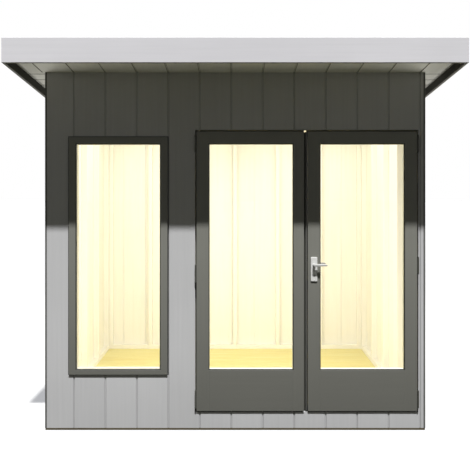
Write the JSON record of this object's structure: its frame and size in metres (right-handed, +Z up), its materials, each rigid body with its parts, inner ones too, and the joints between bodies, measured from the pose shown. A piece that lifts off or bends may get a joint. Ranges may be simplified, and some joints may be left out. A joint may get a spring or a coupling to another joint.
{
  "type": "garden office pod",
  "caption": "Timber garden office pod with a pent roof, vertical boarded walls, a fixed window and glazed double doors with a lever handle, which open outwards",
  "frame": {"origin": "on the ground, under the middle of the roof plan", "axes": "+X to the right of someone who faces the doors, along the front and longest; +Y to the rear; +Z up"},
  "size_m": [2.69, 2.342, 2.405],
  "materials": {
    "cladding_paint": "pale grey painted boards, matt",
    "joinery_paint": "dark grey paint, satin",
    "fascia_paint": "light grey paint, matt",
    "soffit_paint": "grey painted boards, matt",
    "framing_pine": "planed pale pine, unfinished",
    "floor_pine": "planed pine boards",
    "treated_timber": "pressure treated softwood, rough sawn",
    "roof_membrane": "black sheet membrane, matt",
    "clear_glass": "clear float glass",
    "hinge_steel": "zinc plated steel, dulled",
    "handle_steel": "satin steel"
  },
  "bodies": {
    "pod": {"door_stops": "joinery_paint", "door_threshold": "joinery_paint", "floor_bearers": "treated_timber", "floor_boards": "floor_pine", "front_cladding_door_bay": "cladding_paint", "front_cladding_piers": "cladding_paint", "front_cladding_window_bay": "cladding_paint", "left_cladding": "cladding_paint", "right_cladding": "cladding_paint", "rear_cladding": "cladding_paint", "front_fascia": "fascia_paint", "side_fascias": "fascia_paint", "rear_fascia": "fascia_paint", "front_soffit": "soffit_paint", "side_soffits": "soffit_paint", "rear_soffit": "soffit_paint", "front_rails": "framing_pine", "front_studs": "framing_pine", "left_plates": "framing_pine", "left_studs": "framing_pine", "right_plates": "framing_pine", "right_studs": "framing_pine", "rear_plates": "framing_pine", "rear_studs": "framing_pine", "roof_rafters": "framing_pine", "roof_boards": "framing_pine", "roof_covering": "roof_membrane", "window_stiles": "joinery_paint", "window_rails": "joinery_paint", "window_glass": "clear_glass", "left_hinges_fixed": "hinge_steel", "right_hinges_fixed": "hinge_steel"},
    "left_door": {"left_door_stiles": "joinery_paint", "left_door_rails": "joinery_paint", "left_door_glass": "clear_glass", "left_door_meeting_strip": "joinery_paint", "left_hinges_moving": "hinge_steel"},
    "right_door": {"right_door_stiles": "joinery_paint", "right_door_rails": "joinery_paint", "right_door_glass": "clear_glass", "right_hinges_moving": "hinge_steel", "handle_backplates": "handle_steel"},
    "door_lever": {"lever_handle": "handle_steel"}
  },
  "joints": [
    {"name": "left_door_swing", "type": "hinge", "parent": "pod", "child": "left_door", "pos_m": [-0.251, -0.792, 0], "axis": [0, 0, -1], "range_deg": [0, 170]},
    {"name": "right_door_swing", "type": "hinge", "parent": "pod", "child": "right_door", "pos_m": [1.16, -0.792, 0], "axis": [0, 0, 1], "range_deg": [0, 170]},
    {"name": "lever_turn", "type": "hinge", "parent": "right_door", "child": "door_lever", "pos_m": [0.5, -0.768, 1.051], "axis": [0, 1, 0], "range_deg": [0, 45], "stiffness_Nm_per_rad": 2, "springref_deg": -14.32}
  ]
}
